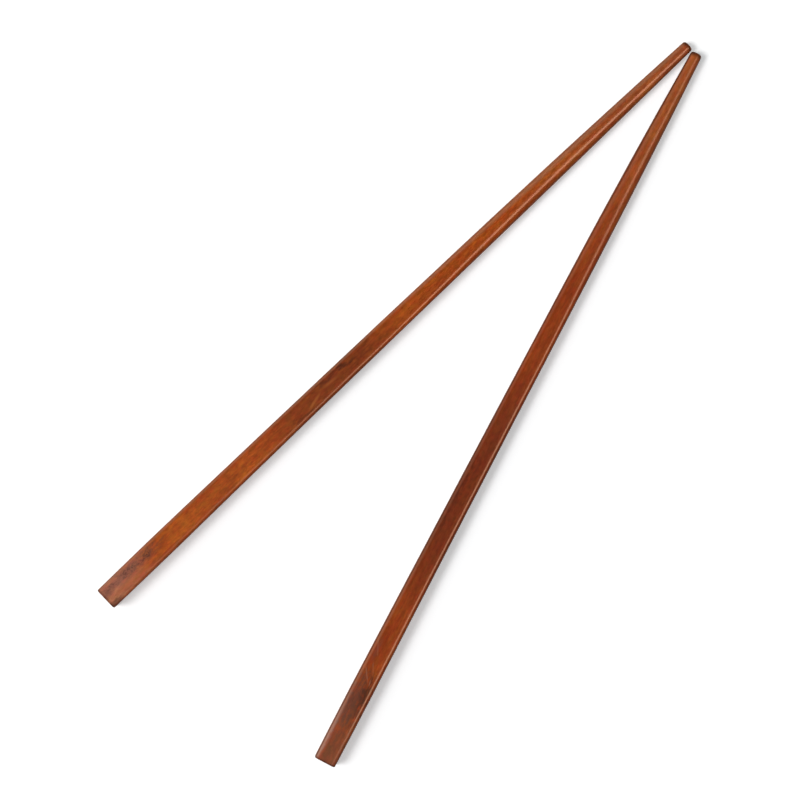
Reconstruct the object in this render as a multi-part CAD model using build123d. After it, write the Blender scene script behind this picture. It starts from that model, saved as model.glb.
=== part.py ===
from build123d import *

import os
from types import SimpleNamespace

# A pair of wooden chopsticks, each planed from one square blank.
# The handle keeps the square with softened arrises, and the eating end is sanded round.
# They lie on one flat of the handle, tips together and butts spread, as laid down on a table.
# Sizes are in millimetres. A station is a distance along a stick from its butt.

# What the pair was made to
length = 240.0
butt_width = 7.3
belly_station = 24.0
belly_width = 7.42
grip_end = 155.0
grip_end_width = 5.8
tip_width = 3.5
round_from = 110.0
round_to = 190.0
grip_arris = 1.25
butt_softening = 0.35

# By how much the right stick came out different from the left one
right_shorter_by = 1.0
right_butt_slimmer_by = 0.55
right_belly_slimmer_by = 0.42
right_grip_longer_by = 10.0
right_grip_end_fuller_by = 0.05
right_arris_fuller_by = 0.2
right_rounding_later_by = 10.0

# How far each has bowed sideways at its middle
left_bow = 0.38
right_bow = 0.3

# Eating end: what is left of each flat, and how far the end face is rounded over
round_flat = 0.3
tip_rounding = 0.85

# The underside of the handle is planed this deep to a true flat, which the stick rests on
flat_depth = 0.04

# How the pair lies: the angle between them, the gap between their tips, and how far one tip lags
spread_angle = 18.7
tip_gap = 0.28
tip_stagger = 0.5

# How many sections shape each stretch of a stick
sections_in_butt = 2
sections_in_grip = 4
sections_in_tip = 5

left = SimpleNamespace(
    length=length,
    butt_width=butt_width,
    belly_width=belly_width,
    grip_end=grip_end,
    grip_end_width=grip_end_width,
    grip_arris=grip_arris,
    round_from=round_from,
    round_to=round_to,
    bow=left_bow,
)
right = SimpleNamespace(
    length=length - right_shorter_by,
    butt_width=butt_width - right_butt_slimmer_by,
    belly_width=belly_width - right_belly_slimmer_by,
    grip_end=grip_end + right_grip_longer_by,
    grip_end_width=grip_end_width + right_grip_end_fuller_by,
    grip_arris=grip_arris + right_arris_fuller_by,
    round_from=round_from + right_rounding_later_by,
    round_to=round_to + right_rounding_later_by,
    bow=right_bow,
)


def grip_taper(stick):
    """How much width the grip loses for each millimetre of its length."""
    return (stick.belly_width - stick.grip_end_width) / (stick.grip_end - belly_station)


def width_at(stick, station):
    """Swells from the butt to the belly, tapers straight along the grip, then falls away to the tip."""
    if station < belly_station:
        still_to_go = 1 - station / belly_station
        return stick.belly_width - (stick.belly_width - stick.butt_width) * still_to_go**2
    straight = stick.belly_width - grip_taper(stick) * (station - belly_station)
    if station <= stick.grip_end:
        return straight
    straight_at_tip = stick.belly_width - grip_taper(stick) * (stick.length - belly_station)
    past_grip = (station - stick.grip_end) / (stick.length - stick.grip_end)
    return straight - (straight_at_tip - tip_width) * past_grip**2


def arris_at(stick, station):
    """The arris keeps its radius along the handle and grows until only a sliver of each flat is left."""
    share = (station - stick.round_from) / (stick.round_to - stick.round_from)
    share = min(max(share, 0), 1)
    eased = share * share * (3 - 2 * share)
    full = (width_at(stick, station) - round_flat) / 2
    return stick.grip_arris + (full - stick.grip_arris) * eased


def outline_of(width, arris):
    """A rounded square, drawn side by side, with each arris as two arcs that meet on its crest."""
    reach = width / 2
    centre = reach - arris
    side = Line((reach, -centre), (reach, centre))
    before_crest = CenterArc((centre, centre), arris, 0, 45)
    after_crest = CenterArc((centre, centre), arris, 45, 45)
    quarter = [side, before_crest, after_crest]
    return make_face([Rotation(0, 0, 90 * turn) * line for turn in range(4) for line in quarter])


def centre_fall(stick):
    """How fast the centre line falls, for the stick to rest on its whole grip, or on its tip if that is lower."""
    level_grip = grip_taper(stick) / 2
    tip_down = (stick.belly_width - tip_width) / 2 - 2 * flat_depth
    return min(level_grip, tip_down / (stick.length - belly_station))


def section_at(stick, station):
    """The outline at a station, on the bowed centre line."""
    along = station / stick.length
    sideways = -4 * stick.bow * along * (1 - along)
    fall = centre_fall(stick) * (station - belly_station)
    height = stick.belly_width / 2 - fall - flat_depth
    place = Plane(origin=(sideways, station, height), x_dir=(1, 0, 0), z_dir=(0, -1, 0))
    return place * outline_of(width_at(stick, station), arris_at(stick, station))


def stations_of(stick):
    """Where the sections stand, evenly within the butt, the grip and the eating end."""
    butt_step = belly_station / sections_in_butt
    grip_step = (stick.grip_end - belly_station) / sections_in_grip
    tip_step = (stick.length - stick.grip_end) / sections_in_tip
    butt = [butt_step * i for i in range(sections_in_butt)]
    grip = [belly_station + grip_step * i for i in range(sections_in_grip)]
    tip = [stick.grip_end + tip_step * i for i in range(sections_in_tip + 1)]
    return butt + grip + tip


def shaped(stick):
    """One stick lying along +Y with its butt at Y = 0 and its flat on Z = 0."""
    blank = loft([section_at(stick, station) for station in stations_of(stick)])
    planed = split(blank, bisect_by=Plane.XY, keep=Keep.TOP)
    butt_edges = planed.faces().sort_by(Axis.Y)[0].edges()
    softened = fillet(butt_edges, butt_softening)
    tip_edges = softened.faces().sort_by(Axis.Y)[-1].edges()
    return fillet(tip_edges, tip_rounding)


def laid_down(stick, side, lag):
    """Turns a stick to its half of the spread, with its inner side half a gap from the middle at the tip."""
    turn = side * spread_angle / 2
    shoulder = stick.length - tip_rounding
    inner = Vector(-side * width_at(stick, shoulder) / 2, shoulder, 0).rotate(Axis.Z, turn)
    place = Vector(side * tip_gap / 2 - inner.X, -lag - inner.Y, 0)
    return Location(place) * Rotation(0, 0, turn) * shaped(stick)


left_laid = laid_down(left, -1, 0)
right_laid = laid_down(right, 1, tip_stagger)

# The origin is on the table, under the middle of the pair
reach = left_laid.bounding_box().add(right_laid.bounding_box())
middle = Location((-(reach.min.X + reach.max.X) / 2, -(reach.min.Y + reach.max.Y) / 2, 0))

os.makedirs("parts", exist_ok=True)
export_step(middle * left_laid, "parts/left_chopstick.step")
export_step(middle * right_laid, "parts/right_chopstick.step")
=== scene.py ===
import math

import bmesh
import bpy
from mathutils import Matrix, Vector, noise


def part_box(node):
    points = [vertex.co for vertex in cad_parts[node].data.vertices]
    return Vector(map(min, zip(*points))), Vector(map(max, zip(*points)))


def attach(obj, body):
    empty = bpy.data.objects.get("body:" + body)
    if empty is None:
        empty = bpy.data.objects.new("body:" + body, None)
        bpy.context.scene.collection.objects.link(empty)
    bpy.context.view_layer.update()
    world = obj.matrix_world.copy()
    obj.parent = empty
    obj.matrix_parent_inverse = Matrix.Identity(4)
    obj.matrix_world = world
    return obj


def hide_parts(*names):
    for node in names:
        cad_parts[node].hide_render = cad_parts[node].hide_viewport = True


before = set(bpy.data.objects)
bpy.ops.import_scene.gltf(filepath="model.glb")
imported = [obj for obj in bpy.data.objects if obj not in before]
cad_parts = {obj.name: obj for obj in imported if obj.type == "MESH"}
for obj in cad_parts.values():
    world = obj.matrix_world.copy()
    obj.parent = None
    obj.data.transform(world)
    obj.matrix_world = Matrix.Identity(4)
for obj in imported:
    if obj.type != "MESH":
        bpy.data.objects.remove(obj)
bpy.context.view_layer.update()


# Left chopstick: one table chopstick, planed square from a blank of close-grained hardwood, with
# its arrises sanded soft and its eating end sanded round, then stained red-brown and varnished.
# Nothing is fixed to it. Sizes are in millimetres, and a station is a distance from its butt.

MM = 0.001

# The sizes are those of its solid. turn is how it lies, in degrees, hollows is how deep plane and
# sandpaper went at most, and seed sets its grain apart from the other stick's.
left = {
    "name": "left_stick",
    "node": "left_chopstick",
    "length": 240.0,
    "butt_width": 7.3,
    "belly_station": 24.0,
    "belly_width": 7.42,
    "grip_end": 155.0,
    "grip_end_width": 5.8,
    "tip_width": 3.5,
    "round_from": 110.0,
    "round_to": 190.0,
    "arris": 1.25,
    "round_flat": 0.3,
    "bow": 0.38,
    "turn": -9.35,
    "butt_softening": 0.35,
    "tip_rounding": 0.85,
    "planed_off": 0.04,
    "hollows": 0.05,
    "seed": 3.0,
}

# How fine the mesh is: points round the stick, rings along it, and rings on and round its two ends
POINTS_ON_SIDE = 6
POINTS_ON_ARRIS = 10
AROUND = 4 * (POINTS_ON_SIDE + POINTS_ON_ARRIS)
RING_SPACING = 0.75
RINGS_ROUND_END = 6
BUTT_FACE_INSETS = (2.4, 1.6, 0.8)
TIP_FACE_INSET = 0.4
LEAST_ARRIS = 0.12


def grip_taper(stick):
    """How much width the grip loses for each millimetre of its length."""
    lost = stick["belly_width"] - stick["grip_end_width"]
    return lost / (stick["grip_end"] - stick["belly_station"])


def width_at(stick, station):
    """Swells to the belly, tapers straight along the grip, then falls away to the tip."""
    belly_width, belly_station = stick["belly_width"], stick["belly_station"]
    if station < belly_station:
        still_to_go = 1 - station / belly_station
        return belly_width - (belly_width - stick["butt_width"]) * still_to_go**2
    straight = belly_width - grip_taper(stick) * (station - belly_station)
    if station <= stick["grip_end"]:
        return straight
    straight_at_tip = belly_width - grip_taper(stick) * (stick["length"] - belly_station)
    past_grip = (station - stick["grip_end"]) / (stick["length"] - stick["grip_end"])
    return straight - (straight_at_tip - stick["tip_width"]) * past_grip**2


def arris_at(stick, station):
    """The sanded radius of an arris, which grows until only a sliver of each flat is left."""
    share = (station - stick["round_from"]) / (stick["round_to"] - stick["round_from"])
    share = min(max(share, 0), 1)
    full = (width_at(stick, station) - stick["round_flat"]) / 2
    return stick["arris"] + (full - stick["arris"]) * share * share * (3 - 2 * share)


def rings_of(stick):
    """Each ring of points from butt to tip: its station, and how far inside the outline it is."""
    soft, nose, length = stick["butt_softening"], stick["tip_rounding"], stick["length"]
    quarter = [math.radians(90 / RINGS_ROUND_END * step) for step in range(RINGS_ROUND_END + 1)]
    rings = [(0, soft + inset) for inset in BUTT_FACE_INSETS]
    rings += [(soft * (1 - math.cos(a)), soft * (1 - math.sin(a))) for a in quarter]
    between = length - nose - soft
    count = round(between / RING_SPACING)
    rings += [(soft + between * step / count, 0) for step in range(1, count)]
    rings += [(length - nose + nose * math.sin(a), nose * (1 - math.cos(a))) for a in quarter]
    return rings + [(length, nose + TIP_FACE_INSET)]


def outline_point(corner, width, arris, inset):
    """Point number corner of the rounded square, and the way out of the wood there."""
    quarter, step = divmod(corner, POINTS_ON_SIDE + POINTS_ON_ARRIS)
    reach = width / 2 - inset
    radius = max(arris - inset, LEAST_ARRIS)
    centre = reach - radius
    if step < POINTS_ON_SIDE:
        point = Vector((reach, 0, centre * (2 * step / POINTS_ON_SIDE - 1)))
        outward = Vector((1, 0, 0))
    else:
        angle = math.pi / 2 * (step - POINTS_ON_SIDE) / POINTS_ON_ARRIS
        outward = Vector((math.cos(angle), 0, math.sin(angle)))
        point = Vector((centre, 0, centre)) + radius * outward
    quarter_turn = Matrix.Rotation(-math.pi / 2 * quarter, 3, "Y")
    return quarter_turn @ point, quarter_turn @ outward


def hollow_at(stick, point):
    """How far plane and sandpaper went under the true surface, in shallow waves along the wood."""
    seed = stick["seed"]
    # Waves of the plane, 3 mm across and 17 mm long, and strokes of sandpaper, 1.2 mm and 5 mm
    waves = noise.noise(Vector((point.x * 0.35, point.y * 0.06 + seed, point.z * 0.35)))
    strokes = noise.noise(Vector((point.x * 0.8, point.y * 0.21 - seed, point.z * 0.8)))
    return stick["hollows"] * (0.5 + 0.35 * waves + 0.15 * strokes)


def wood_point(stick, corner, station, inset):
    """Where the point lies on the stick, with its flat down on the table."""
    width = width_at(stick, station)
    offset, outward = outline_point(corner, width, arris_at(stick, station), inset)
    along = station / stick["length"]
    fall = grip_taper(stick) / 2 * (station - stick["belly_station"])
    axis = Vector((-4 * stick["bow"] * along * (1 - along), station, 0))
    axis.z = stick["belly_width"] / 2 - fall - stick["planed_off"]
    point = axis + offset
    point -= outward * hollow_at(stick, point)
    point.z = max(point.z, 0)
    return point


def chopstick(stick):
    """A flat grid is rolled up round the stick, ring by ring, welded and closed at both ends.

    It is laid in the middle of its solid's box, and stands for that solid."""
    rings = rings_of(stick)
    bm = bmesh.new()
    bmesh.ops.create_grid(bm, x_segments=AROUND, y_segments=len(rings) - 1, size=1)
    for vert in bm.verts:
        corner = round((vert.co.x + 1) / 2 * AROUND) % AROUND
        station, inset = rings[round((vert.co.y + 1) / 2 * (len(rings) - 1))]
        vert.co = wood_point(stick, corner, station, inset)
    bmesh.ops.remove_doubles(bm, verts=bm.verts, dist=0.0001)
    bmesh.ops.holes_fill(bm, edges=[edge for edge in bm.edges if edge.is_boundary], sides=AROUND)
    bmesh.ops.recalc_face_normals(bm, faces=bm.faces)
    laid = Matrix.Rotation(math.radians(stick["turn"]), 4, "Z") @ Matrix.Scale(MM, 4)
    bmesh.ops.transform(bm, matrix=laid, verts=bm.verts)
    low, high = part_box(stick["node"])
    across = [vert.co.x for vert in bm.verts]
    along = [vert.co.y for vert in bm.verts]
    butt = Vector((
        (low.x + high.x - min(across) - max(across)) / 2,
        (low.y + high.y - min(along) - max(along)) / 2,
        0,
    ))
    bmesh.ops.translate(bm, verts=bm.verts, vec=butt)
    for face in bm.faces:
        face.smooth = True
    mesh = bpy.data.meshes.new(stick["name"])
    bm.to_mesh(mesh)
    bm.free()
    piece = bpy.data.objects.new(stick["name"], mesh)
    bpy.context.scene.collection.objects.link(piece)
    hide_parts(stick["node"])
    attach(piece, "root")
    return piece, butt


def linear(colour):
    """An sRGB hex colour as the linear one that a shader takes."""
    parts = [int(colour[place:place + 2], 16) / 255 for place in (1, 3, 5)]
    return [
        part / 12.92 if part <= 0.04045 else ((part + 0.055) / 1.055) ** 2.4
        for part in parts
    ] + [1]


def add(tree, kind, sockets=None, **settings):
    """Adds one node with its settings, and sets or links each socket named.

    In a Mix, socket 0 is the share. A and B are 6 and 7 for colours, 2 and 3 for numbers."""
    new = tree.nodes.new("ShaderNode" + kind)
    for key, value in settings.items():
        setattr(new, key, value)
    for key, value in (sockets or {}).items():
        if isinstance(value, bpy.types.NodeSocket):
            tree.links.new(value, new.inputs[key])
        else:
            new.inputs[key].default_value = value
    return new


def varnished_wood(name, stick, butt, tones, marks):
    """Close-grained hardwood, planed, sanded and stained, under a thin satin varnish."""
    material = bpy.data.materials.new(name)
    material.use_nodes = True
    tree = material.node_tree
    tree.nodes.clear()

    # To the eye that is a short fine grain under soft clouds of colour. The varnish mirrors
    # nothing. It shows as a line of light along each arris, helped by a painted highlight along the
    # right-hand one, and a painted sheen lies along the left-hand one.

    # The stick's own place in millimetres: x across it, y from its butt and z up from the table
    place = add(tree, "TexCoord")
    local = add(tree, "Mapping", {
        "Vector": place.outputs["Object"],
        "Location": butt,
        "Rotation": (0, 0, math.radians(stick["turn"])),
        "Scale": (MM, MM, MM),
    }, vector_type="TEXTURE").outputs[0]

    # The same place in the grain, where each stick is cut from a stretch of its own
    blanks_apart = (0, stick["seed"] * 300, 0)
    blank = add(tree, "VectorMath", {0: local, 1: blanks_apart}).outputs[0]

    # How far along the stick
    station = add(tree, "SeparateXYZ", {0: local}).outputs["Y"]

    # Clouds of stain, 4 mm across and 20 mm long, between a warm tone and a deep one. The scale of
    # this pattern and of the others is one over their size in millimetres.
    clouds_at = add(tree, "Mapping", {"Vector": blank, "Scale": (1 / 4, 1 / 20, 1 / 4)})
    clouds = add(tree, "TexNoise", {
        "Vector": clouds_at.outputs[0],
        "Scale": 1,
        "Detail": 3,
        "Roughness": 0.55,
    })
    cloud = clouds.outputs["Fac"]
    warm = add(tree, "MapRange", {"Value": cloud, "From Min": 0.5, "From Max": 0.68})
    colour = add(tree, "Mix", {
        0: warm.outputs[0],
        6: linear(tones["ground"]),
        7: linear(tones["warm"]),
    }, data_type="RGBA")
    deep = add(tree, "MapRange", {
        "Value": cloud,
        "From Min": 0.48,
        "From Max": 0.3,
        "To Max": 0.75,
    })
    colour = add(tree, "Mix", {
        0: deep.outputs[0],
        6: colour.outputs[2],
        7: linear(tones["deep"]),
    }, data_type="RGBA")

    # Where fingers hold it, the middle has darkened, with a ragged start and end. The clouds push
    # each station by up to push, so a bound is written half of that further along.
    push = 34
    fade = 12
    ragged = add(tree, "Math", {0: cloud, 1: push, 2: station}, operation="MULTIPLY_ADD")
    held_from, held_to = (bound + push / 2 for bound in tones["held"])
    held_in = add(tree, "MapRange", {
        "Value": ragged.outputs[0],
        "From Min": held_from - fade,
        "From Max": held_from + fade,
    }, interpolation_type="SMOOTHSTEP")
    held_out = add(tree, "MapRange", {
        "Value": ragged.outputs[0],
        "From Min": held_to + fade,
        "From Max": held_to - fade,
        "To Max": tones["held_by"],
    }, interpolation_type="SMOOTHSTEP")
    held = add(tree, "Math", {0: held_in.outputs[0], 1: held_out.outputs[0]}, operation="MULTIPLY")
    colour = add(tree, "Mix", {
        0: held.outputs[0],
        6: colour.outputs[2],
        7: linear(tones["dark"]),
    }, data_type="RGBA")

    # Both ends are rubbed, in the first 25 mm from the butt, and from 153 mm on towards the tip
    butt_worn = add(tree, "MapRange", {
        "Value": ragged.outputs[0],
        "From Min": 25 + push / 2,
        "From Max": -3 + push / 2,
        "To Max": tones["butt_wear"],
    }, interpolation_type="SMOOTHSTEP")
    tip_worn = add(tree, "MapRange", {
        "Value": ragged.outputs[0],
        "From Min": 153 + push / 2,
        "From Max": 233 + push / 2,
        "To Max": tones["tip_wear"],
    }, interpolation_type="SMOOTHSTEP")
    colour = add(tree, "Mix", {
        0: butt_worn.outputs[0],
        6: colour.outputs[2],
        7: linear(tones["worn"]),
    }, data_type="RGBA")
    colour = add(tree, "Mix", {
        0: tip_worn.outputs[0],
        6: colour.outputs[2],
        7: linear(tones["tip"]),
    }, data_type="RGBA")

    # Growth rings some 2.4 mm apart about a pith well outside the blank, cut here into faint long
    # stripes. Along the wood they hardly change.
    to_pith = (26, 0, 11)
    rings_at = add(tree, "Mapping", {
        "Vector": blank,
        "Location": to_pith,
        "Scale": (1, 0.012, 1),
    })
    rings = add(tree, "TexWave", {
        "Vector": rings_at.outputs[0],
        "Scale": 0.13,
        "Distortion": 1.6,
        "Detail": 2,
        "Detail Scale": 0.6,
    }, wave_type="RINGS", rings_direction="Y")
    ring_tone = add(tree, "MapRange", {
        "Value": rings.outputs["Fac"],
        "To Min": 0.95,
        "To Max": 1.04,
    })

    # Fibres, 0.3 mm wide and 8 mm long: bundles of them, as one alone is too fine to show
    fibres_at = add(tree, "Mapping", {"Vector": blank, "Scale": (3.2, 0.12, 3.2)})
    fibres = add(tree, "TexNoise", {
        "Vector": fibres_at.outputs[0],
        "Scale": 1,
        "Detail": 3,
        "Roughness": 0.65,
    })
    fibre_tone = add(tree, "MapRange", {
        "Value": fibres.outputs["Fac"],
        "From Min": 0.3,
        "From Max": 0.7,
        "To Min": 0.88,
        "To Max": 1.12,
    })

    # Mottle of the stain, in blots 0.7 mm across and 2 mm long
    blots_at = add(tree, "Mapping", {"Vector": blank, "Scale": (1.4, 0.5, 1.4)})
    blots = add(tree, "TexNoise", {
        "Vector": blots_at.outputs[0],
        "Scale": 1,
        "Detail": 4,
        "Roughness": 0.65,
    })
    blot = blots.outputs["Fac"]
    blot_tone = add(tree, "MapRange", {
        "Value": blot,
        "From Min": 0.3,
        "From Max": 0.7,
        "To Min": 1 - tones["mottle"],
        "To Max": 1 + tones["mottle"],
    })
    grain = add(tree, "Math", {
        0: ring_tone.outputs[0],
        1: fibre_tone.outputs[0],
    }, operation="MULTIPLY")
    grain = add(tree, "Math", {0: grain.outputs[0], 1: blot_tone.outputs[0]}, operation="MULTIPLY")
    colour = add(tree, "VectorMath", {
        0: colour.outputs[2],
        "Scale": grain.outputs[0],
    }, operation="SCALE")

    # Redder and yellower touches, in patches 1.5 mm across and 3 mm long, each by how much it
    # multiplies red, green and blue. They start apart from the blots, so that the two don't match.
    redder_by = (1.07, 0.86, 0.88, 1)
    yellower_by = (0.99, 1.1, 0.86, 1)
    off_the_blots = (40, 0, 0)
    hues_at = add(tree, "Mapping", {
        "Vector": blank,
        "Location": off_the_blots,
        "Scale": (0.7, 0.35, 0.7),
    })
    hues = add(tree, "TexNoise", {
        "Vector": hues_at.outputs[0],
        "Scale": 1,
        "Detail": 2,
        "Roughness": 0.6,
    })
    yellower = add(tree, "MapRange", {
        "Value": hues.outputs["Fac"],
        "From Min": 0.35,
        "From Max": 0.65,
    })
    hue = add(tree, "Mix", {
        0: yellower.outputs[0],
        6: redder_by,
        7: yellower_by,
    }, data_type="RGBA")
    colour = add(tree, "VectorMath", {
        0: colour.outputs[0],
        1: hue.outputs[2],
    }, operation="MULTIPLY")

    # Pores, one to each 0.8 mm across and 3 mm along: dark flecks 0.3 mm wide and 1 mm long, drawn
    # coarser than in the wood so that they show, and only where the mottle is dark
    pores_at = add(tree, "Mapping", {"Vector": blank, "Scale": (1.3, 0.35, 1.3)})
    pores = add(tree, "TexVoronoi", {"Vector": pores_at.outputs[0], "Scale": 1, "Randomness": 1})
    pore = add(tree, "MapRange", {
        "Value": pores.outputs["Distance"],
        "From Min": 0.26,
        "From Max": 0.12,
    })
    open_pore = add(tree, "MapRange", {
        "Value": blot,
        "From Min": 0.5,
        "From Max": 0.42,
        "To Max": 0.14,
    })
    pore = add(tree, "Math", {0: pore.outputs[0], 1: open_pore.outputs[0]}, operation="MULTIPLY")
    colour = add(tree, "Mix", {
        0: pore.outputs[0],
        6: colour.outputs[0],
        7: linear(tones["pore"]),
    }, data_type="RGBA")

    # Marks on the upper face, of use and of painted shade and sheen, each an ellipse with an edge
    # broken by the mottle, some only a speckle of specks 0.4 mm across. mark_edge is 1 for the
    # ellipse and the rest for the mottle.
    top = stick["belly_width"]
    mark_depth = 2.5
    mark_broken_by = 1.6
    mark_edge = 1.9
    grit = add(tree, "TexNoise", {"Vector": local, "Scale": 2.4, "Detail": 1, "Roughness": 0.6})
    speck = add(tree, "MapRange", {
        "Value": grit.outputs["Fac"],
        "From Min": 0.38,
        "From Max": 0.62,
        "To Min": 0.35,
    })
    for across, along, half_width, half_length, lean, tone, strength, soft, speckled in marks:
        spot = add(tree, "Mapping", {
            "Vector": local,
            "Location": (across, along, top),
            "Rotation": (0, 0, math.radians(lean)),
            "Scale": (half_width, half_length, mark_depth),
        }, vector_type="TEXTURE")
        far = add(tree, "VectorMath", {0: spot.outputs[0]}, operation="LENGTH")
        broken = add(tree, "Math", {
            0: blot,
            1: mark_broken_by,
            2: far.outputs["Value"],
        }, operation="MULTIPLY_ADD")
        mark = add(tree, "MapRange", {
            "Value": broken.outputs[0],
            "From Min": mark_edge,
            "From Max": mark_edge - soft,
            "To Max": strength,
        }, interpolation_type="SMOOTHSTEP").outputs[0]
        if speckled:
            in_specks = {0: mark, 1: speck.outputs[0]}
            mark = add(tree, "Math", in_specks, operation="MULTIPLY").outputs[0]
        colour = add(tree, "Mix", {
            0: mark,
            6: colour.outputs[2],
            7: linear(tone),
        }, data_type="RGBA")

    # A paler tone along the right-hand arris, where the flat starts to turn, is a painted highlight
    # that strengthens the lamp's line of light, and partly stain rubbed thin by handling. Near the
    # butt it is dull and not painted, and the line ends where the stick turns round.
    normal = add(tree, "NewGeometry").outputs["Normal"]
    up = add(tree, "SeparateXYZ", {0: normal}).outputs["Z"]
    turn = math.radians(stick["turn"])
    rightward = add(tree, "VectorMath", {
        0: normal,
        1: (math.cos(turn), math.sin(turn), 0),
    }, operation="DOT_PRODUCT").outputs["Value"]
    right_highlight_in = add(tree, "MapRange", {"Value": rightward, "From Min": 0.07, "From Max": 0.22})
    right_highlight_out = add(tree, "MapRange", {
        "Value": up,
        "From Min": 0.84,
        "From Max": 0.93,
        "To Max": tones["highlight_rub"],
    })
    square = add(tree, "MapRange", {
        "Value": station,
        "From Min": stick["round_from"] + 45,
        "From Max": stick["round_from"] + 5,
    })
    rub_and_highlight = add(tree, "Math", {0: right_highlight_in.outputs[0], 1: right_highlight_out.outputs[0]}, operation="MULTIPLY")
    rub_and_highlight = add(tree, "Math", {0: rub_and_highlight.outputs[0], 1: square.outputs[0]}, operation="MULTIPLY")
    dull_until, polished_from = tones["polish"]
    polished = add(tree, "MapRange", {
        "Value": station,
        "From Min": dull_until,
        "From Max": polished_from,
    })
    rub_and_highlight = add(tree, "Math", {0: rub_and_highlight.outputs[0], 1: polished.outputs[0]}, operation="MULTIPLY")
    colour = add(tree, "Mix", {
        0: rub_and_highlight.outputs[0],
        6: colour.outputs[2],
        7: linear(tones["bare_and_highlight"]),
    }, data_type="RGBA")

    # Painted sheen: along the left-hand arris a paler greyish tone stands in for the reflection of
    # the pale wall on the left, to one degree on the handle and to another on the eating end
    handle_until, handle_sheen, far_from, far_sheen = tones["left_arris_sheen"]
    sheen_level = add(tree, "MapRange", {
        "Value": station,
        "From Min": handle_until,
        "From Max": far_from,
        "To Min": handle_sheen,
        "To Max": far_sheen,
    })
    left_arris_sheen = add(tree, "MapRange", {
        "Value": rightward,
        "From Min": -0.2,
        "From Max": -0.6,
        "To Max": sheen_level.outputs[0],
    })
    colour = add(tree, "Mix", {
        0: left_arris_sheen.outputs[0],
        6: colour.outputs[2],
        7: linear("#A88062"),
    }, data_type="RGBA")

    # Painted shade: down the sides the wood is darker, most round the outside of each arris and
    # more on the right-hand side, away from the key. The end grain of the butt and of the tip drank
    # more stain, and shows the growth rings.
    edge = add(tree, "MapRange", {
        "Value": rightward,
        "From Min": -0.7,
        "To Min": tones["left_edge_shade"],
        "To Max": 0.6,
    })
    outer_arris_shade = add(tree, "MapRange", {
        "Value": up,
        "From Min": 0.74,
        "From Max": 0.5,
        "To Max": edge.outputs[0],
    })
    flat_side = add(tree, "MapRange", {
        "Value": up,
        "From Min": 0.3,
        "From Max": 0.05,
        "To Max": 0.55,
    })
    side = add(tree, "Math", {0: outer_arris_shade.outputs[0], 1: flat_side.outputs[0]}, operation="SUBTRACT")
    butt_end = add(tree, "MapRange", {
        "Value": station,
        "From Min": 0.9,
        "From Max": 0.3,
        "To Max": 0.8,
    })
    tip_end = add(tree, "MapRange", {
        "Value": station,
        "From Min": stick["length"] - 1.6,
        "From Max": stick["length"] - 0.7,
        "To Max": 0.9,
    })
    end_ring = add(tree, "MapRange", {
        "Value": rings.outputs["Fac"],
        "To Min": 1.0,
        "To Max": 0.6,
    })
    soaked_or_shaded = add(tree, "Math", {0: butt_end.outputs[0], 1: tip_end.outputs[0]}, operation="ADD")
    soaked_or_shaded = add(tree, "Math", {0: soaked_or_shaded.outputs[0], 1: end_ring.outputs[0]}, operation="MULTIPLY")
    soaked_or_shaded = add(tree, "Math", {0: soaked_or_shaded.outputs[0], 1: side.outputs[0]}, operation="MAXIMUM")
    colour = add(tree, "Mix", {
        0: soaked_or_shaded.outputs[0],
        6: colour.outputs[2],
        7: linear(tones["pore"]),
    }, data_type="RGBA")

    # The varnish is thin, so the pores and fibres show through it as dips. Hands have polished it,
    # all but a duller stretch by the butt, and it is a little patchy everywhere.
    patchy_by = 0.03
    polish_takes = 0.14
    dull = add(tree, "MapRange", {
        "Value": blot,
        "From Min": 0.3,
        "From Max": 0.7,
        "To Min": tones["dull"] - patchy_by,
        "To Max": tones["dull"] + patchy_by,
    })
    rough = add(tree, "Math", {
        0: polished.outputs[0],
        1: -polish_takes,
        2: dull.outputs[0],
    }, operation="MULTIPLY_ADD")
    relief = add(tree, "Math", {0: fibres.outputs["Fac"], 1: blot}, operation="ADD")
    relief = add(tree, "Math", {0: relief.outputs[0], 1: pore.outputs[0]}, operation="SUBTRACT")
    bump = add(tree, "Bump", {
        "Height": relief.outputs[0],
        "Strength": 0.15,
        "Distance": 0.05 * MM,
    })

    # An oil varnish has an IOR of about 1.5. It is 1.7 here, because the tint that makes the light
    # on the arrises as warm as the real one would otherwise leave too little of it.
    surface = add(tree, "BsdfPrincipled", {
        "Base Color": colour.outputs[2],
        "Roughness": rough.outputs[0],
        "IOR": 1.7,
        "Specular Tint": linear("#FFBF9E"),
        "Normal": bump.outputs[0],
    })
    add(tree, "OutputMaterial", {"Surface": surface.outputs[0]})
    return material


left_piece, left_butt = chopstick(left)

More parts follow.
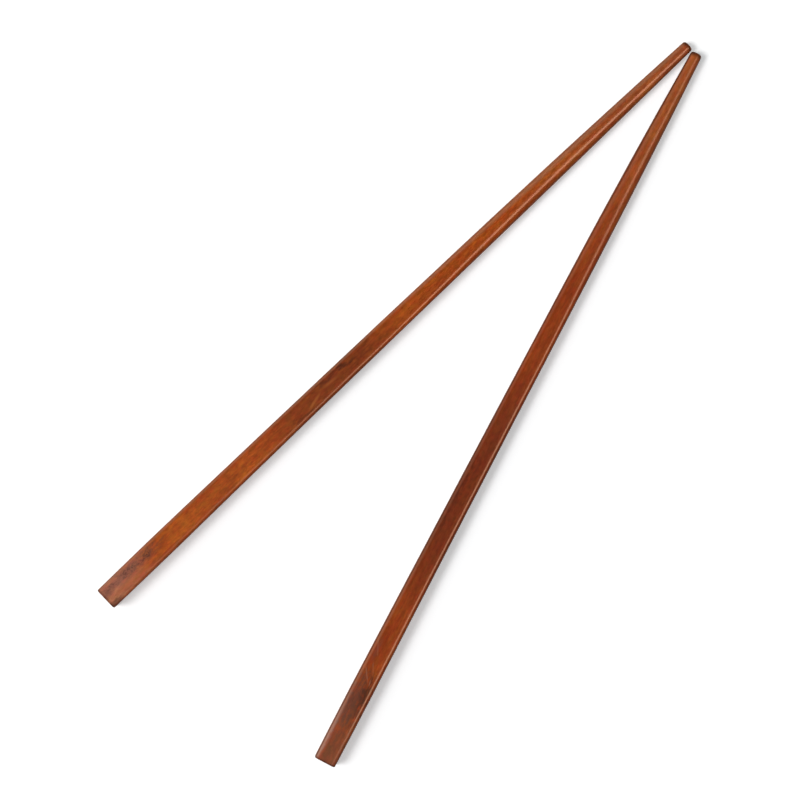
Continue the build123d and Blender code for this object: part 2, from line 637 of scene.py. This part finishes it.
# Each mark: across, station, half its width, half its length, lean in degrees, tone, strength,
# softness, and whether it is a speckle. The butt is worn and speckled, the grip has dark and pale
# spots where it is held.
left_marks = [
    (-1.7, 7.0, 2.8, 16.0, 0, "#98685C", 0.5, 1.0, False),
    (-1.4, 3.4, 2.0, 4.4, 0, "#40261E", 0.6, 1.2, True),
    (-1.4, 10.5, 2.0, 5.4, -6, "#36201A", 0.74, 1.2, True),
    (-1.3, 18.0, 2.0, 6.6, 4, "#321C16", 0.78, 1.2, True),
    (1.3, 9.0, 1.3, 9.0, 0, "#B86A34", 0.3, 1.0, False),
    # Painted shade: a dark spot at the right-hand corner of the butt
    (3.1, 1.5, 1.2, 3.5, 0, "#3C1812", 0.6, 0.6, False),
    (0.8, 53.0, 1.7, 11.0, 0, "#70300F", 0.32, 1.0, False),
    (0.3, 85.5, 0.6, 4.4, 14, "#B0642E", 0.55, 0.9, False),
    (-0.8, 93.0, 0.7, 4.0, -4, "#AC602E", 0.5, 0.9, False),
    (-1.8, 99.0, 1.4, 4.6, -12, "#2C130C", 0.85, 1.1, False),
    (-1.9, 92.5, 1.4, 6.5, -6, "#4A1E14", 0.6, 1.1, False),
    (-0.4, 106.0, 1.2, 6.0, -9, "#50180E", 0.45, 1.0, False),
    (1.6, 80.0, 1.0, 6.5, -6, "#3E170D", 0.45, 1.0, False),
]

# The tones, and how strong each kind of wear, painted highlight, painted sheen and painted shade
# is. held gives the stations between which it is dark, polish those between which dull turns to
# polished, and the left-arris sheen a station and its painted sheen, twice.
left_wood = varnished_wood("stained_hardwood_left", left, left_butt, {
    "ground": "#9A4413",
    "warm": "#A85415",
    "deep": "#8E3E15",
    "dark": "#6E2F14",
    "worn": "#A66E5C",
    "tip": "#7E4E38",
    # The paler tone and strength of the painted highlight along the right-hand arris
    "bare_and_highlight": "#C07C4C",
    "highlight_rub": 0.2,
    "pore": "#3A1608",
    "held": (72, 112),
    "held_by": 0.75,
    "butt_wear": 0.65,
    "tip_wear": 0.35,
    "mottle": 0.3,
    "left_arris_sheen": (90, 0.24, 150, 0.29),
    "left_edge_shade": 0.25,
    "dull": 0.41,
    "polish": (35, 140),
}, left_marks)
left_piece.data.materials.append(left_wood)


# Right chopstick: its pair, made in the same way from the same kind of blank. It came out a little
# shorter, fuller towards the tip and rounded later, and took the stain darker. Its solid turns
# round from 120 to 200 mm. The line of light along the real one shows it later, as it is here.

right = {
    **left,
    "name": "right_stick",
    "node": "right_chopstick",
    "length": 239.0,
    "butt_width": 6.75,
    "belly_width": 7.0,
    "grip_end": 165.0,
    "grip_end_width": 5.85,
    "round_from": 134.0,
    "round_to": 216.0,
    "arris": 1.45,
    "bow": 0.3,
    "turn": 9.35,
    "seed": 11.0,
}
right_piece, right_butt = chopstick(right)
right_marks = [
    (0.8, 4.0, 3.6, 24.0, 0, "#5C3C28", 0.5, 1.0, False),
    (-1.0, 3.4, 1.5, 3.2, 0, "#4E3A22", 0.35, 1.0, False),
    # Painted sheen: a pale greyish band along the left-hand arris by the butt
    (-3.1, 8.0, 1.2, 20.0, 0, "#B8948A", 0.45, 1.0, False),
    (-1.2, 20.0, 3.4, 12.0, 0, "#74564A", 0.4, 1.0, False),
    (0.0, 21.0, 4.2, 12.0, 0, "#3C241A", 0.4, 1.0, False),
    (-0.6, 19.5, 3.4, 10.0, 3, "#3A2018", 0.2, 1.0, True),
    (1.5, 24.0, 2.1, 8.0, 3, "#341A10", 0.65, 1.1, False),
    (-1.0, 29.0, 0.22, 3.4, 34, "#A87458", 0.33, 0.7, False),
    (-0.2, 31.5, 0.2, 2.6, 27, "#A06C50", 0.3, 0.7, False),
    (-2.0, 38.0, 0.2, 3.0, 26, "#A06C50", 0.35, 0.7, False),
    (0.9, 27.2, 0.2, 1.3, 10, "#A87458", 0.4, 0.7, False),
    (-1.9, 37.0, 0.9, 5.0, 0, "#6A4038", 0.35, 1.0, False),
    (-2.3, 89.0, 1.4, 18.0, 1, "#3C160E", 0.52, 1.1, False),
    (-0.6, 98.0, 0.9, 6.0, 6, "#4C1B10", 0.3, 1.0, False),
]
right_wood = varnished_wood("stained_hardwood_right", right, right_butt, {
    "ground": "#86330B",
    "warm": "#924012",
    "deep": "#782D10",
    "dark": "#64260F",
    "worn": "#95604C",
    "tip": "#AC6636",
    # The paler tone and strength of the painted highlight along the right-hand arris
    "bare_and_highlight": "#B0744E",
    "highlight_rub": 0.32,
    "pore": "#301008",
    "held": (61, 124),
    "held_by": 0.7,
    "butt_wear": 0.25,
    "tip_wear": 0.4,
    "mottle": 0.24,
    # A painted sheen along the left-hand arris, strong on the handle only
    "left_arris_sheen": (30, 0.24, 80, 0.05),
    "left_edge_shade": 0.65,
    "dull": 0.46,
    "polish": (0, 20),
}, right_marks)
right_piece.data.materials.append(right_wood)


# Table: a plain surface covered in white paper, which the pair lies on and throws its soft shadows
# on. It is just under the sticks, so that it and their flats don't share a plane.

UNDER_THE_FLATS = 0.02 * MM

bm = bmesh.new()
bmesh.ops.create_grid(bm, x_segments=1, y_segments=1, size=4)
bmesh.ops.translate(bm, verts=bm.verts, vec=(0, 0, -UNDER_THE_FLATS))
mesh = bpy.data.meshes.new("table")
bm.to_mesh(mesh)
bm.free()
table = bpy.data.objects.new("table", mesh)
bpy.context.scene.collection.objects.link(table)

# Matt uncoated paper, which gives the eye an even white and no gleam. The camera sees it a little
# lifted, so that it is white outside the shadows. The sticks are lit from it as from a warmer and
# darker table, which makes their sides as warm and deep as in the photograph.
LIFT = 0.164

paper = bpy.data.materials.new("white_paper")
paper.use_nodes = True
paper.node_tree.nodes.clear()
rays = add(paper.node_tree, "LightPath")
paper_tone = add(paper.node_tree, "Mix", {
    0: rays.outputs["Is Camera Ray"],
    6: linear("#B89C88"),
    7: linear("#FFFFFF"),
}, data_type="RGBA")
paper_surface = add(paper.node_tree, "BsdfDiffuse", {"Color": paper_tone.outputs[2]})
lift = add(paper.node_tree, "Math", {
    0: rays.outputs["Is Camera Ray"],
    1: LIFT,
}, operation="MULTIPLY")
paper_lift = add(paper.node_tree, "Emission", {
    "Color": linear("#F5FCFF"),
    "Strength": lift.outputs[0],
})
paper_sum = add(paper.node_tree, "AddShader", {
    0: paper_surface.outputs[0],
    1: paper_lift.outputs[0],
})
add(paper.node_tree, "OutputMaterial", {"Surface": paper_sum.outputs[0]})
table.data.materials.append(paper)


# Lamps: a wide soft key from the left that casts the shadows, and a second one from the right that
# draws the bright line along each arris and casts none. The surroundings are dim but for a pale
# wall on the left, and the camera sees them white.


def lamp(name, bearing, elevation, level, spread):
    """A far lamp. Bearing is from the camera's right, level what it adds to a white table."""
    data = bpy.data.lights.new(name, "SUN")
    data.energy = level * math.pi / math.sin(math.radians(elevation))
    data.angle = math.radians(spread)
    piece = bpy.data.objects.new(name, data)
    piece.rotation_euler = (0, math.radians(90 - elevation), math.radians(bearing + camera_turn))
    bpy.context.scene.collection.objects.link(piece)
    return piece


camera_turn = 37.09
key = lamp("key", bearing=192, elevation=57, level=0.39, spread=22)
key.visible_glossy = False
side = lamp("side", bearing=-30, elevation=59, level=0.29, spread=27)
side.data.use_shadow = False

world = bpy.data.worlds.new("surroundings")
bpy.context.scene.world = world
world.use_nodes = True
world.node_tree.nodes.clear()
rays = add(world.node_tree, "LightPath")
wall_bearing = math.radians(180 + camera_turn)
direction = add(world.node_tree, "TexCoord").outputs["Generated"]
leftward = add(world.node_tree, "VectorMath", {
    0: direction,
    1: (math.cos(wall_bearing), math.sin(wall_bearing), 0),
}, operation="DOT_PRODUCT")
walls = add(world.node_tree, "MapRange", {
    "Value": leftward.outputs["Value"],
    "From Min": 0.25,
    "To Min": 0.08,
    "To Max": 1.4,
})
level = add(world.node_tree, "Mix", {
    0: rays.outputs["Is Camera Ray"],
    2: walls.outputs[0],
    3: 1.0,
})
sky = add(world.node_tree, "Background", {
    "Color": linear("#FFFFFF"),
    "Strength": level.outputs[0],
})
add(world.node_tree, "OutputWorld", {"Surface": sky.outputs[0]})


# Camera: straight above the table, one metre up, with a long lens, turned so that the sticks lie
# across the picture as in the photograph.

view = bpy.data.cameras.new("camera")
view.lens = 150
view.sensor_width = 36
view.clip_start = 0.05
camera = bpy.data.objects.new("camera", view)
camera.location = (-0.00639, -0.01804, 0.9988)
camera.rotation_euler = (0, 0, math.radians(camera_turn))
bpy.context.scene.collection.objects.link(camera)
bpy.context.scene.camera = camera

bpy.context.scene.view_settings.view_transform = "Standard"
